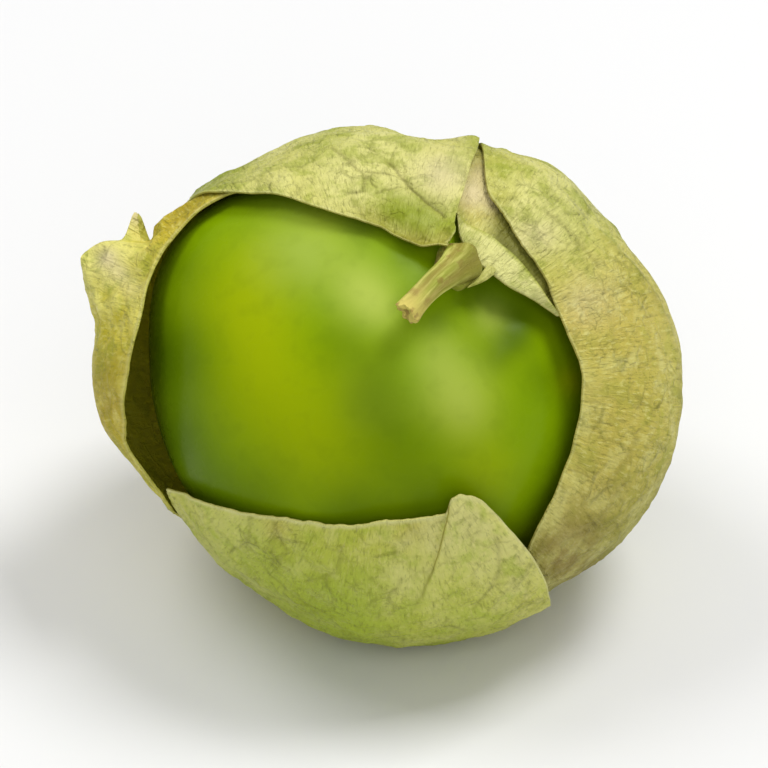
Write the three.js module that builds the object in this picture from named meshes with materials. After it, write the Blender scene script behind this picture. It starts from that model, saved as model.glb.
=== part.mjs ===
// A ripe tomatillo lying as picked: a glossy round berry inside its papery husk. The husk has
// split over the front of the berry into one large wrap, two loose lobes and a torn strip.
// Millimetres, +Z up, +X to the right, -Y to the front. The origin is the middle of the flat
// patch that the husk rests on.
//
// The fruit is laid out in its own tilted frame, whose +Z runs from the berry's centre to the
// stem. There a point is given by its longitude round the stem axis, its polar angle from the
// stem, and its distance from the berry's centre.
import * as THREE from "three";

// Driving dimensions, in millimetres and degrees
const BERRY_RADIUS = 25.2;
const BERRY_HALF_HEIGHT = 23.6;
const CENTRE_HEIGHT = 26.0;
const STEM_TILT = 26.5;
const STEM_AZIMUTH = -47;
const OPENING_ELEVATION = 37; // the way that the split in the husk faces, above the horizon
const SHEET = 0.7; // thickness of the husk
const LAYER = 1.0; // from one sheet of husk to the next one over it
const SNUG = 0.7; // least distance from the berry's skin to the middle of the innermost sheet
const BEND = 0.8; // the husk bends up from its resting patch over this height, up and down
const RIB_STEP = 36;
const FIRST_RIB = 2;
const PUFF = 0.2; // how far the husk swells between its ribs

// The loose husk: its distance from the berry's centre at each twelfth of a turn round the line
// to the opening, anticlockwise from the right, and straight behind.
const LOOSE = [32.6, 29.9, 28.0, 26.4, 26.3, 29.6, 30.6, 26.4, 26.9, 28.3, 28.9, 31.4];
const BEHIND = 27.8;
const COMES_LOOSE = [35, 85]; // degrees from the line to the opening

const { degToRad, radToDeg, lerp, smoothstep } = THREE.MathUtils;
const UP = new THREE.Vector3(0, 0, 1);

// The tilted frame: +Z to the stem, and +X, longitude 0, as near as it can be to the opening.
const stemAxis = new THREE.Vector3(1, 0, 0)
  .applyAxisAngle(new THREE.Vector3(0, 1, 0), -degToRad(90 - STEM_TILT))
  .applyAxisAngle(UP, degToRad(STEM_AZIMUTH));
const openingAxis = new THREE.Vector3(0, -1, 0).applyAxisAngle(
  new THREE.Vector3(1, 0, 0),
  -degToRad(OPENING_ELEVATION),
);
const frontAxis = openingAxis.clone().projectOnPlane(stemAxis).normalize();
const sideAxis = stemAxis.clone().cross(frontAxis);
const tilted = new THREE.Quaternion().setFromRotationMatrix(
  new THREE.Matrix4().makeBasis(frontAxis, sideAxis, stemAxis),
);
const inFruit = (vector) => vector.clone().applyQuaternion(tilted.clone().invert());

// The same directions seen from inside the tilted frame
const up = inFruit(UP);
const toOpening = inFruit(openingAxis);
const toRight = inFruit(new THREE.Vector3(1, 0, 0));
const toTop = toOpening.clone().cross(toRight);

function direction(longitude, polar) {
  const [lon, pol] = [degToRad(longitude), degToRad(polar)];
  return new THREE.Vector3(
    Math.sin(pol) * Math.cos(lon),
    Math.sin(pol) * Math.sin(lon),
    Math.cos(pol),
  );
}

// A smooth curve through four values, from the second one at f = 0 to the third one at f = 1
function between(a, b, c, d, f) {
  const bend = 2 * a - 5 * b + 4 * c - d;
  const twist = 3 * b - 3 * c + d - a;
  return b + (f * (c - a + f * (bend + f * twist))) / 2;
}

// A smooth curve through evenly spaced values, read at t from 0 to 1
function through(values, t) {
  const last = values.length - 1;
  const place = Math.min(Math.max(t, 0), 1) * last;
  const i = Math.min(Math.floor(place), last - 1);
  const at = (n) => values[Math.min(Math.max(n, 0), last)];
  return between(at(i - 1), at(i), at(i + 1), at(i + 2), place - i);
}

// The same round a closed ring of values, read at an angle in radians
function around(values, angle) {
  const count = values.length;
  const place = (angle / (2 * Math.PI) + 1) * count;
  const i = Math.floor(place);
  const at = (n) => values[(n + count) % count];
  return between(at(i - 1), at(i), at(i + 1), at(i + 2), place - i);
}

const bump = (distance, width) => Math.exp(-((distance / width) ** 2));
const angleBetween = (a, b) => radToDeg(Math.acos(THREE.MathUtils.clamp(a.dot(b), -1, 1)));

// The height at a direction of a list of round swellings, where a negative height is a hollow
function relief(dir, forms) {
  const heights = forms.map(({ longitude, polar, height, width }) => {
    return height * bump(angleBetween(dir, direction(longitude, polar)), width);
  });
  return heights.reduce((sum, height) => sum + height);
}

// Distance of the berry's skin from its centre, without its hollow
const roundRadius = (dir) =>
  1 / Math.hypot(Math.hypot(dir.x, dir.y) / BERRY_RADIUS, dir.z / BERRY_HALF_HEIGHT);

// Distance of the innermost sheet from the berry's centre: a loose bag that is drawn in to the
// berry round the opening.
function bagRadius(dir) {
  const [x, y, z] = [dir.dot(toRight), dir.dot(toTop), dir.dot(toOpening)];
  const aside = Math.hypot(x, y);
  const loose = 1 / Math.hypot(aside / around(LOOSE, Math.atan2(y, x)), z / BEHIND);
  const fromOpening = angleBetween(dir, toOpening);
  const snug = roundRadius(dir) + SNUG;
  return Math.max(lerp(snug, loose, smoothstep(fromOpening, ...COMES_LOOSE)), snug);
}

// The swelling between ribs, which fades out towards the stem and the far end
function puff(longitude, polar) {
  const phase = degToRad(((longitude - FIRST_RIB) / RIB_STEP) * 360);
  return PUFF * (1 - Math.cos(phase)) * Math.sin(degToRad(polar)) ** 2;
}

// A closed solid between an outer and an inner grid of points, joined round their rims. Rows
// run from the stem down, and columns run with the longitude.
function closedSheet(rows, columns, pointAt) {
  const points = [];
  const faces = [];
  const place = (side, i, j) => (side * (rows + 1) + i) * (columns + 1) + j;
  for (const side of [0, 1]) {
    for (let i = 0; i <= rows; i++) {
      for (let j = 0; j <= columns; j++) {
        points.push(...pointAt(i / rows, j / columns, side === 0).toArray());
      }
    }
  }
  const quad = (a, b, c, d) => faces.push(a, b, c, a, c, d);
  for (let i = 0; i < rows; i++) {
    for (let j = 0; j < columns; j++) {
      quad(place(0, i, j), place(0, i + 1, j), place(0, i + 1, j + 1), place(0, i, j + 1));
      quad(place(1, i, j), place(1, i, j + 1), place(1, i + 1, j + 1), place(1, i + 1, j));
    }
    quad(place(0, i + 1, 0), place(0, i, 0), place(1, i, 0), place(1, i + 1, 0));
    quad(place(0, i, columns), place(0, i + 1, columns), place(1, i + 1, columns), place(1, i, columns));
  }
  for (let j = 0; j < columns; j++) {
    quad(place(0, 0, j), place(0, 0, j + 1), place(1, 0, j + 1), place(1, 0, j));
    quad(place(0, rows, j + 1), place(0, rows, j), place(1, rows, j), place(1, rows, j + 1));
  }
  return new THREE.BufferGeometry()
    .setAttribute("position", new THREE.Float32BufferAttribute(points, 3))
    .setIndex(faces);
}

// A patch of the husk, from its first side to its second one and from its top to its bottom.
// top and bottom give the polar angle from side to side, and first and second the longitude
// from top to bottom.
const patch = ({ top, bottom, first, second }) => (u, v) => [
  lerp(through(first, u), through(second, u), v),
  lerp(through(top, v), through(bottom, v), u),
];

// A height that is kept above a floor, with a soft bend where it meets the floor
function rested(height, floor) {
  const over = height - floor;
  if (Math.abs(over) >= BEND) return Math.max(height, floor);
  return floor + (over + BEND) ** 2 / (4 * BEND);
}

// One piece of husk over a patch. lift gives its height over the innermost sheet, and floor how
// low its outside may lie.
function huskSheet({ rows, columns, at, lift, floor = 0 }) {
  return closedSheet(rows, columns, (u, v, outside) => {
    const [longitude, polar] = at(u, v);
    const dir = direction(longitude, polar);
    const free = bagRadius(dir) + puff(longitude, polar) + lift(longitude, polar, u, v);
    const middle = Math.max(free, roundRadius(dir) + SNUG);
    const point = dir.multiplyScalar(middle + (outside ? SHEET / 2 : -SHEET / 2));
    const height = point.dot(up) + CENTRE_HEIGHT;
    return point.addScaledVector(up, rested(height, floor + (outside ? 0 : SHEET)) - height);
  });
}

// The berry: slightly flattened, with a hollow where the stem joins it and a groove that runs
// out of the hollow over its shoulder.
const BERRY = {
  rows: 22,
  columns: 36,
  forms: [
    { longitude: 84, polar: 16, height: -2.2, width: 11 },
    { longitude: 52, polar: 26, height: -0.55, width: 7 },
    { longitude: 35, polar: 33, height: 0.35, width: 14 },
  ],
};

function berryGeometry() {
  const { rows, columns, forms } = BERRY;
  const points = [];
  const faces = [];
  const add = (longitude, polar) => {
    const dir = direction(longitude, polar);
    points.push(...dir.multiplyScalar(roundRadius(dir) + relief(dir, forms)).toArray());
  };
  add(0, 0);
  for (let i = 1; i < rows; i++) {
    for (let j = 0; j < columns; j++) add((360 * j) / columns, (180 * i) / rows);
  }
  add(0, 180);
  const ring = (i, j) => 1 + (i - 1) * columns + (j % columns);
  const lastPoint = 1 + (rows - 1) * columns;
  for (let j = 0; j < columns; j++) {
    faces.push(0, ring(1, j), ring(1, j + 1));
    for (let i = 1; i < rows - 1; i++) {
      faces.push(ring(i, j), ring(i + 1, j), ring(i + 1, j + 1));
      faces.push(ring(i, j), ring(i + 1, j + 1), ring(i, j + 1));
    }
    faces.push(ring(rows - 1, j), lastPoint, ring(rows - 1, j + 1));
  }
  return new THREE.BufferGeometry()
    .setAttribute("position", new THREE.Float32BufferAttribute(points, 3))
    .setIndex(faces);
}

// The stem: a round stalk that leaves along the stem axis and is bent over to the front. Its
// radius follows its length, and its cut end is a little wider.
const STEM = {
  path: [
    [0, 0, 24.1],
    [0.4, 0, 25.7],
    [2.6, -0.2, 26.9],
    [5.9, -0.6, 26.6],
    [9.8, -1.0, 24.9],
  ],
  radii: [2.0, 2.0, 1.75, 1.6, 1.5, 1.4, 1.6],
  steps: 12,
  sides: 12,
};

function stemGeometry() {
  const { radii, steps, sides } = STEM;
  const path = new THREE.CatmullRomCurve3(STEM.path.map((p) => new THREE.Vector3(...p)));
  const { normals, binormals } = path.computeFrenetFrames(steps);
  const points = [...path.getPointAt(0).toArray()];
  const faces = [];
  const ring = (i, j) => 1 + i * sides + (j % sides);
  for (let i = 0; i <= steps; i++) {
    const radius = through(radii, i / steps);
    const middle = path.getPointAt(i / steps);
    for (let j = 0; j < sides; j++) {
      const turn = (2 * Math.PI * j) / sides;
      const point = middle
        .clone()
        .addScaledVector(normals[i], radius * Math.cos(turn))
        .addScaledVector(binormals[i], radius * Math.sin(turn));
      points.push(...point.toArray());
    }
  }
  points.push(...path.getPointAt(1).toArray());
  const endPoint = 1 + (steps + 1) * sides;
  for (let j = 0; j < sides; j++) {
    faces.push(0, ring(0, j + 1), ring(0, j));
    for (let i = 0; i < steps; i++) {
      faces.push(ring(i, j), ring(i, j + 1), ring(i + 1, j + 1));
      faces.push(ring(i, j), ring(i + 1, j + 1), ring(i + 1, j));
    }
    faces.push(endPoint, ring(steps, j), ring(steps, j + 1));
  }
  return new THREE.BufferGeometry()
    .setAttribute("position", new THREE.Float32BufferAttribute(points, 3))
    .setIndex(faces);
}

// The wrap: the untorn back of the husk, from the right edge of the opening round the back to
// its upper edge. It lies over the left lobe. A pleat runs out from the stem to its top.
const CREASES = [
  { longitude: 189, polar: 24, height: -1.3, width: 8 },
  { longitude: 201, polar: 54, height: -1.3, width: 11 },
  { longitude: 222, polar: 60, height: 1.1, width: 12 },
  { longitude: 173, polar: 58, height: 0.7, width: 10 },
];
const RISES_OVER_LEFT = [222, 244]; // longitudes

const wrap = huskSheet({
  rows: 26,
  columns: 34,
  at: patch({
    top: [24, 19.7, 18.5, 19, 18, 9, 6, 6, 6, 6, 6],
    bottom: [166, 170, 174, 176, 177, 177, 177, 177, 177, 176, 175],
    first: [116, 90, 77.5, 64.5, 56.5, 55, 58, 66, 76, 88, 104],
    second: [263, 274, 272, 269, 267, 263, 260, 259, 258, 256, 252],
  }),
  lift: (longitude, polar) =>
    LAYER * smoothstep(longitude, ...RISES_OVER_LEFT) +
    relief(direction(longitude, polar), CREASES),
  floor: LAYER,
});

// The left lobe: its upper end is tucked under the wrap, and its free edge leans out from the
// berry and ends over the lower lobe's corner.
const FLARE = { longitude: 278, polar: 96, height: 3.0, width: 10 };
const FLARE_STARTS = [269, 280]; // longitudes, clear of the wrap
const LEANS_OUT = { longitudes: [280, 312], polars: [84, 108] };
const leftLobe = huskSheet({
  rows: 20,
  columns: 12,
  at: patch({
    top: [52, 52, 52],
    bottom: [174, 174, 174],
    first: [256, 249, 245, 243, 243, 244, 246, 248, 250, 251, 252],
    second: [264, 272, 290, 305.5, 314.5, 327, 331, 329, 325, 318, 310],
  }),
  lift: (longitude, polar) => {
    const flare = relief(direction(longitude, polar), [FLARE]);
    const { longitudes, polars } = LEANS_OUT;
    const lean = smoothstep(longitude, ...longitudes) * smoothstep(polar, ...polars);
    return LAYER * lean + flare * smoothstep(longitude, ...FLARE_STARTS);
  },
  floor: LAYER,
});

// The lower lobe: the torn front of the husk, folded up from under the fruit like a cup. Its
// left corner is tucked in, its right corner lies over the wrap, and its rim rises to a tip.
const RISES_OVER_WRAP = [0, 55]; // longitudes
const CORNER = { longitudes: [45, 75], height: 0.25 };
const lowerLobe = huskSheet({
  rows: 22,
  columns: 26,
  at: patch({
    top: [108, 95.5, 87.5, 80.8, 75.5, 69, 65.3, 58.5, 66.8, 87.5, 103.8],
    bottom: [174, 176, 177, 177, 177, 177, 177, 176, 173, 168, 162],
    first: [-33, -34, -35, -36.5, -38, -40, -42, -43, -44, -45, -45],
    second: [71, 74, 78, 82, 87, 92, 97, 101, 104, 106, 106],
  }),
  lift: (longitude) =>
    LAYER * smoothstep(longitude, ...RISES_OVER_WRAP) +
    CORNER.height * smoothstep(longitude, ...CORNER.longitudes),
});

// The torn strip: a tongue of husk that hangs from the stem over the berry's hollow. It is laid
// out flat beside the stem: reach runs to longitude 90, and its sides run to longitude 180.
const STRIP = {
  reach: [0.5, 27.4],
  height: 0.2,
  arch: 0.7, // the strip's middle is this much higher at the stem, and flat at its tip
  near: [5.4, 4.1, 2.4, 1.9, 2.4, 3.9],
  far: [8.6, 8.6, 7.8, 7.4, 6.6, 5.2],
};
const tornStrip = huskSheet({
  rows: 10,
  columns: 6,
  at: (u, v) => {
    const along = lerp(...STRIP.reach, u);
    const aside = -lerp(through(STRIP.far, u), through(STRIP.near, u), 1 - v);
    return [radToDeg(Math.atan2(along, aside)), Math.hypot(along, aside)];
  },
  lift: (longitude, polar, u, v) => STRIP.height + STRIP.arch * Math.sin(Math.PI * v) * (1 - u),
});

const paper = (colour) =>
  new THREE.MeshStandardMaterial({ color: colour, roughness: 0.7, metalness: 0, side: THREE.DoubleSide });
const skin = new THREE.MeshStandardMaterial({ color: 0x7c9c0c, roughness: 0.22, metalness: 0 });
const stalk = new THREE.MeshStandardMaterial({ color: 0xa9a856, roughness: 0.75, metalness: 0 });

function named(name, geometry, material) {
  geometry.computeVertexNormals();
  const mesh = new THREE.Mesh(geometry, material);
  mesh.name = name;
  return mesh;
}

const tomatillo = new THREE.Group();
tomatillo.add(
  named("berry", berryGeometry(), skin),
  named("stem", stemGeometry(), stalk),
  named("husk_wrap", wrap, paper(0xc9c56c)),
  named("husk_left_lobe", leftLobe, paper(0xb3a848)),
  named("husk_lower_lobe", lowerLobe, paper(0xaaad50)),
  named("husk_torn_strip", tornStrip, paper(0xcac775)),
);
tomatillo.quaternion.copy(tilted);
tomatillo.position.z = CENTRE_HEIGHT;

const part = new THREE.Group();
part.add(tomatillo);

export default part;
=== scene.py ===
import bpy
import numpy as np
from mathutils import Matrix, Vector


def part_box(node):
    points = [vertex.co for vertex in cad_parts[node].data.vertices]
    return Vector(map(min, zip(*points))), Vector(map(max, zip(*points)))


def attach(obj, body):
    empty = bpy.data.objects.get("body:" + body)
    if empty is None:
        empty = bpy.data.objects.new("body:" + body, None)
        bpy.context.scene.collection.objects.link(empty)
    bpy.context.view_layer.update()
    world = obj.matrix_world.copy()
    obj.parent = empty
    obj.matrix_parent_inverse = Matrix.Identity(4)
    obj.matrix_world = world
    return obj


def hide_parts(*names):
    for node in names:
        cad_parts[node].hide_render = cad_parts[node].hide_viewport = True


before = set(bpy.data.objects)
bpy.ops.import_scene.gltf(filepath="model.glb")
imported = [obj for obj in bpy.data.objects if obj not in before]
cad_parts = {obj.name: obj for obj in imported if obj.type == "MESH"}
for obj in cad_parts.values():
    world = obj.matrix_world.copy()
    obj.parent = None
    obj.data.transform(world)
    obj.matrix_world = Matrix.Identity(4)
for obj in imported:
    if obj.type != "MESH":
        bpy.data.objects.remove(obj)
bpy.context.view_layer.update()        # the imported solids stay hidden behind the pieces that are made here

# A ripe tomatillo in its split husk. Lengths in the dictionaries are in millimetres and angles in
# degrees. The meshes are made in metres.

print("frame:", ", ".join(sorted(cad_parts)))

fruit = {
    "berryRadius": 25.2,          # across the stem axis
    "berryHalfHeight": 23.6,      # along the stem axis
    "stemTilt": 26.5,             # of the stem axis, away from straight up
    "stemAzimuth": -47,           # the way that it leans: 0 is right, -90 is the front
    "openingElevation": 37,       # the way that the split faces, above the horizon
    "snug": 0.7,                  # from the berry's skin to the middle of the innermost sheet
    "proud": 0.25,                # from the middle of a sheet's room to its outside
    "paper": 0.25,                # thickness of the husk
    "layer": 1.0,                 # from one sheet to the next one over it
    "bend": 0.8,                  # how softly the husk bends up from what it lies on
    "sharp": 60,                  # an edge that turns more than this is drawn sharp
    "ribStep": 36,                # degrees round the stem from one rib to the next
    "firstRib": 2,
    "puff": 0.2,                  # of the husk between two ribs
    "ribWidth": 0.7,
    "ribWander": (2.2, 13, 3),    # by how many degrees, how far apart and the seed
    "gathers": (6.5, 30),         # degrees round the opening and degrees out from it
    "gathersBegin": (25, 45),     # degrees from the line to the opening
    "gathersEnd": (70, 110),
    "huskRadius": 26,             # on which the husk's patterns are measured
    "mapDegrees": 60,             # of the husk to one unit of its UV map
    "paintsFrom": -4,             # how far behind its middle the painted areas begin
    # radius of the loose bag, evenly round the line to the opening, from the right
    "loose": [32.6, 29.9, 28.0, 26.4, 26.3, 29.6, 30.6, 26.4, 26.9, 28.3, 28.9, 31.4],
    "behind": 27.8,               # the same, straight away from the opening
    "comesLoose": (35, 85),       # degrees from the line to the opening
}


def smoothstep(x, low, high, amount=1):
    # the amount times 3t^2 - 2t^3, where t is how far x has come from low to high
    t = np.clip((x - low) / (high - low), 0, 1)
    return amount * (t * t * (3 - 2 * t))


def fade(x, low, high, amount=1):
    # the amount times one minus the same
    return amount * (1 - smoothstep(x, low, high))


def bump(distance, width):
    # e to the power of minus the square of distance over width
    return np.exp(-(distance / width) ** 2)


def lerp(a, b, t):
    # a plus t times the step from a to b
    return a + (b - a) * t


def between(a, b, c, d, f):
    # the Catmull-Rom cubic from b at f = 0 to c at f = 1
    return b + f * (c - a + f * (2 * a - 5 * b + 4 * c - d + f * (3 * b - 3 * c + d - a))) / 2


def through(values, t):
    # a Catmull-Rom curve through evenly spaced values, read at t from 0 to 1
    values = np.asarray(values, float)
    last = len(values) - 1
    place = np.clip(t, 0, 1) * last
    i = np.minimum(np.floor(place).astype(int), last - 1)
    at = [values[np.clip(i + step, 0, last)] for step in (-1, 0, 1, 2)]
    return between(*at, place - i)


def around(values, angle):
    # the same round a closed ring of values, read at an angle in radians
    values = np.asarray(values, float)
    place = (angle / (2 * np.pi) + 1) * len(values)
    i = np.floor(place).astype(int)
    at = [values[(i + step) % len(values)] for step in (-1, 0, 1, 2)]
    return between(*at, place - i)


def alongPairs(pairs, t):
    # a cubic curve through unevenly spaced (place, value) pairs that never overshoots them: its
    # slope at a pair is the weighted harmonic mean of the slopes on both sides
    x, y = np.array(pairs, float).T
    h = np.diff(x)
    d = np.diff(y) / h
    before, after = 2 * h[1:] + h[:-1], h[1:] + 2 * h[:-1]
    slope = np.concatenate([d[:1], 0 * h[1:], d[-1:]])
    same = np.flatnonzero(d[:-1] * d[1:] > 0)
    slope[same + 1] = (before + after)[same] / (before[same] / d[same] + after[same] / d[same + 1])
    i = np.clip(np.searchsorted(x, t) - 1, 0, len(h) - 1)
    s = np.clip((t - x[i]) / h[i], 0, 1)
    step, bend = y[i + 1] - y[i], h[i] * (slope[i] + slope[i + 1])
    return y[i] + s * (h[i] * slope[i] + s * (3 * step - h[i] * slope[i] - bend + s * (bend - 2 * step)))


def spacing(count, crowds):
    # equal shares of the area under 1 plus a bump for each crowd (place, width, amount)
    t = np.linspace(0, 1, 2001)
    density = 1 + sum(amount * bump(t - place, width) for place, width, amount in crowds)
    area = np.concatenate([[0], np.cumsum((density[1:] + density[:-1]) / 2)])
    return np.interp(np.linspace(0, 1, count + 1), area / area[-1], t)


def lattice(cell, seed):
    # a repeatable number from -1 to 1 for each cell: its three whole numbers are multiplied by
    # large primes, joined bit by bit and stirred
    n = cell[..., 0] * 73856093 ^ cell[..., 1] * 19349663 ^ cell[..., 2] * 83492791
    n = (n ^ seed * 2654435761) & 0xFFFFFFFF
    n = (n ^ n >> 13) * 1274126177 & 0xFFFFFFFF
    return (n ^ n >> 16) / 2147483648 - 1


def noise(p, seed):
    # lattice numbers at a cell's eight corners, blended by 6t^5 - 15t^4 + 10t^3 along each axis
    base = np.floor(p).astype(np.int64)
    f = p - base
    f = f ** 3 * (f * (f * 6 - 15) + 10)
    total = 0
    for corner in np.ndindex(2, 2, 2):
        weight = np.prod(np.where(corner, f, 1 - f), axis=-1)
        total = total + weight * lattice(base + np.array(corner), seed)
    return total


def crumple(p, size, seed, height=1):
    # 1 - 2.4|noise| at three sizes, times the height: flat facets that meet in sharp folds
    total = 0
    for step, (share, weight) in enumerate([(1, 0.5), (0.52, 0.32), (0.27, 0.18)]):
        total = total + weight * (1 - 2.4 * np.abs(noise(p / (size * share), seed + step)))
    return height * total


# the fruit's own tilted frame: +Z to the stem, +X as near as it can be to the opening

def unit(v):
    # each vector over its length
    return v / np.linalg.norm(v, axis=-1, keepdims=True)


berryLow, berryHigh = (np.array(corner) * 1000 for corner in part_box("berry"))
centre = (berryLow + berryHigh) / 2
angles = [fruit[key] for key in ("stemTilt", "stemAzimuth", "openingElevation")]
tilt, azimuth, elevation = np.radians(angles)
stemAxis = np.array([np.sin(tilt) * np.cos(azimuth), np.sin(tilt) * np.sin(azimuth), np.cos(tilt)])
openingAxis = np.array([0, -np.cos(elevation), np.sin(elevation)])
frontAxis = unit(openingAxis - openingAxis @ stemAxis * stemAxis)
axes = np.array([frontAxis, np.cross(stemAxis, frontAxis), stemAxis])
up, toRight, toOpening = (axes @ way for way in ([0, 0, 1], [1, 0, 0], openingAxis))
toTop = np.cross(toOpening, toRight)


def toWorld(points):
    # each coordinate times its axis, added up, from the berry's centre
    return points @ axes + centre


def fromMiddle(points):
    # how far points lie to the right, to the top and to the opening from the berry's centre
    ways = np.stack([way @ axes for way in (toRight, toTop, toOpening)], -1)
    return np.moveaxis((points - centre) @ ways, -1, 0)


def direction(lon, pol):
    # sines and cosines of the longitude and of the angle from the stem
    lon, pol = np.radians(lon), np.radians(pol)
    return np.stack([np.sin(pol) * np.cos(lon), np.sin(pol) * np.sin(lon), np.cos(pol) + 0 * lon], -1)


def angleBetween(dirs, axis):
    # the arc cosine of the dot product, in degrees
    return np.degrees(np.arccos(np.clip(dirs @ axis, -1, 1)))


def relief(dirs, forms):
    # the sum of round swellings: (longitude, polar angle, height, width)
    return sum(high * bump(angleBetween(dirs, direction(lon, pol)), width)
               for lon, pol, high, width in forms)


def roundRadius(dirs):
    # the radius of a ball that is flattened along the stem axis
    aside = np.hypot(dirs[..., 0], dirs[..., 1]) / fruit["berryRadius"]
    return 1 / np.hypot(aside, dirs[..., 2] / fruit["berryHalfHeight"])


def bagRadius(dirs):
    # the loose bag's radius, drawn in to the berry round the opening, and never under the snug one
    x, y, z = dirs @ toRight, dirs @ toTop, dirs @ toOpening
    loose = 1 / np.hypot(np.hypot(x, y) / around(fruit["loose"], np.arctan2(y, x)), z / fruit["behind"])
    snug = roundRadius(dirs) + fruit["snug"]
    loosened = smoothstep(angleBetween(dirs, toOpening), *fruit["comesLoose"])
    return np.maximum(lerp(snug, loose, loosened), snug)


def puff(lon, pol):
    # the swelling between ribs: one minus a cosine round the stem, times the squared sine of pol
    phase = np.radians((lon - fruit["firstRib"]) / fruit["ribStep"] * 360)
    return fruit["puff"] * (1 - np.cos(phase)) * np.sin(np.radians(pol)) ** 2


def rested(height, floor):
    # the height kept above a floor, with a parabola where it meets the floor
    over = height - floor
    soft = floor + (over + fruit["bend"]) ** 2 / (4 * fruit["bend"])
    return np.where(np.abs(over) >= fruit["bend"], np.maximum(height, floor), soft)


def lineDistance(dirs, line):
    # the least distance to a line of (longitude, polar angle) points, in mm on the berry's skin
    points = direction(*np.array(line, float).T) * fruit["berryRadius"]
    p = dirs * fruit["berryRadius"]
    nearest = np.full(dirs.shape[:-1], np.inf)
    for a, b in zip(points[:-1], points[1:]):
        along = np.clip((p - a) @ (b - a) / ((b - a) @ (b - a)), 0, 1)
        nearest = np.minimum(nearest, np.linalg.norm(p - a - along[..., None] * (b - a), axis=-1))
    return nearest


def marked(dirs, *marks):
    # what lines press into a sheet, and the paint along them: for each set of lines a bump of the
    # least distance to any of them times its height, and another times its paint
    depth = paint = 0
    for height, width, amount, paintWidth, lines in marks:
        nearest = np.minimum.reduce([lineDistance(dirs, line) for line in lines])
        depth = depth + height * bump(nearest, width)
        paint = paint + amount * bump(nearest, paintWidth)
    return depth, paint


def painted(points, spots):
    # the sum of soft round spots on the opening's side, kept from 0 to 1. A spot is (right, top,
    # width, amount), in mm from the middle.
    x, y, z = fromMiddle(points)
    total = sum(amount * bump(np.hypot(x - right, y - top), width) for right, top, width, amount in spots)
    return np.clip(total * (z > fruit["paintsFrom"]) + 0 * z, 0, 1)


def gridFaces(rows, columns, start=0):
    # one quad for each cell of a grid of (rows + 1) x (columns + 1) points
    i, j = np.meshgrid(np.arange(rows), np.arange(columns), indexing="ij")
    a = (start + i * (columns + 1) + j).ravel()
    return np.stack([a, a + columns + 1, a + columns + 2, a + 1], -1)


def tubeFaces(rings, columns, turned=False):
    # quads between neighbours on a stack of closed rings, and a fan at each end to one point. The
    # two points come after the rings. Turned over, a quad keeps its first corner.
    i, j = np.meshgrid(np.arange(rings - 1), np.arange(columns), indexing="ij")
    a, b = (i * columns + j).ravel(), (i * columns + (j + 1) % columns).ravel()
    quads = np.stack([a, a + columns, b + columns, b], -1)
    ring, count = np.arange(columns), rings * columns
    ahead, last = np.roll(ring, -1), count - columns
    fans = np.concatenate([np.stack([ring * 0 + count, ring, ahead], -1),
                           np.stack([ring * 0 + count + 1, ahead + last, ring + last], -1)])
    if turned:
        quads, fans = quads[:, [0, 3, 2, 1]], fans[:, [0, 2, 1]]
    return quads.tolist() + fans.tolist()


def makePiece(name, points, faces, attributes, finish, replaced, flat=None):
    # points in mm and faces into one mesh that rides on the root, with numbers for each point and,
    # for husk, a UV map from the points' flat places
    mesh = bpy.data.meshes.new(name)
    mesh.from_pydata(points * 0.001, [], faces)
    if flat is not None:
        corners = np.zeros(len(mesh.loops), np.int32)
        mesh.loops.foreach_get("vertex_index", corners)
        places = flat[corners].astype(np.float32).ravel()
        mesh.uv_layers.new(name="gather").data.foreach_set("uv", places)
    mesh.polygons.foreach_set("use_smooth", np.ones(len(mesh.polygons), bool))
    mesh.set_sharp_from_angle(angle=np.radians(fruit["sharp"]))
    for key, values in attributes.items():
        layer = mesh.attributes.new(key, "FLOAT", "POINT")
        layer.data.foreach_set("value", np.asarray(values, np.float32).ravel())
    mesh.materials.append(finish)
    piece = bpy.data.objects.new(name, mesh)
    bpy.context.scene.collection.objects.link(piece)
    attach(piece, "root")
    if replaced:
        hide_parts(*replaced)
    print(name, len(mesh.vertices), "points")


def closedSheet(name, shape, sides, finish, replaced=(), **more):
    # two grids of points, the inner one turned over, and a strip of quads round their rims. The
    # paints are the shape's spots and more. The UV map is the turn round the opening's line, from
    # a seam that doesn't show, and the angle from that line.
    rows, columns, count = sides[0].shape[0] - 1, sides[0].shape[1] - 1, sides[0][..., 0].size
    index = np.arange(count).reshape(rows + 1, columns + 1)
    loop = np.concatenate([index[:-1, 0], index[-1, :-1], index[:0:-1, -1], index[0, :0:-1]])
    ahead = np.roll(loop, -1)
    rim = np.stack([ahead, loop, loop + count, ahead + count], -1)
    faces = np.concatenate([gridFaces(rows, columns), gridFaces(rows, columns, count)[:, ::-1], rim])
    points = np.concatenate([side.reshape(-1, 3) for side in sides])
    paints = {"inside": np.repeat([0.0, 1.0], count)}
    for key in ("cream", "leaf", "tan", "pink", "brown", "crease", "rim"):
        paint = np.clip(painted(sides[0], shape.get(key, ())) + more.get(key, 0), 0, 1)
        paints[key] = np.tile(paint.ravel(), 2)
    right, top, near = fromMiddle(points)
    turn = (np.degrees(np.arctan2(top, right)) - shape["seam"]) % 360
    flat = np.stack([turn, np.degrees(np.arctan2(np.hypot(right, top), near))], -1)
    makePiece(name, points, faces, paints, finish, replaced, flat / fruit["mapDegrees"])


def sheetSides(lon, pol, lift, floor=0.0):
    # the outside and inside of a sheet that hangs over the berry at a lift, kept above the floor
    dirs = direction(lon, pol)
    middle = np.maximum(bagRadius(dirs) + puff(lon, pol) + lift, roundRadius(dirs) + fruit["snug"])
    sides = []
    for depth in (0, fruit["paper"]):
        p = dirs * (middle + fruit["proud"] - depth)[..., None]
        height = p @ up + centre[2]
        sides.append(toWorld(p + up * (rested(height, floor + depth) - height)[..., None]))
    return sides


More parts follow.
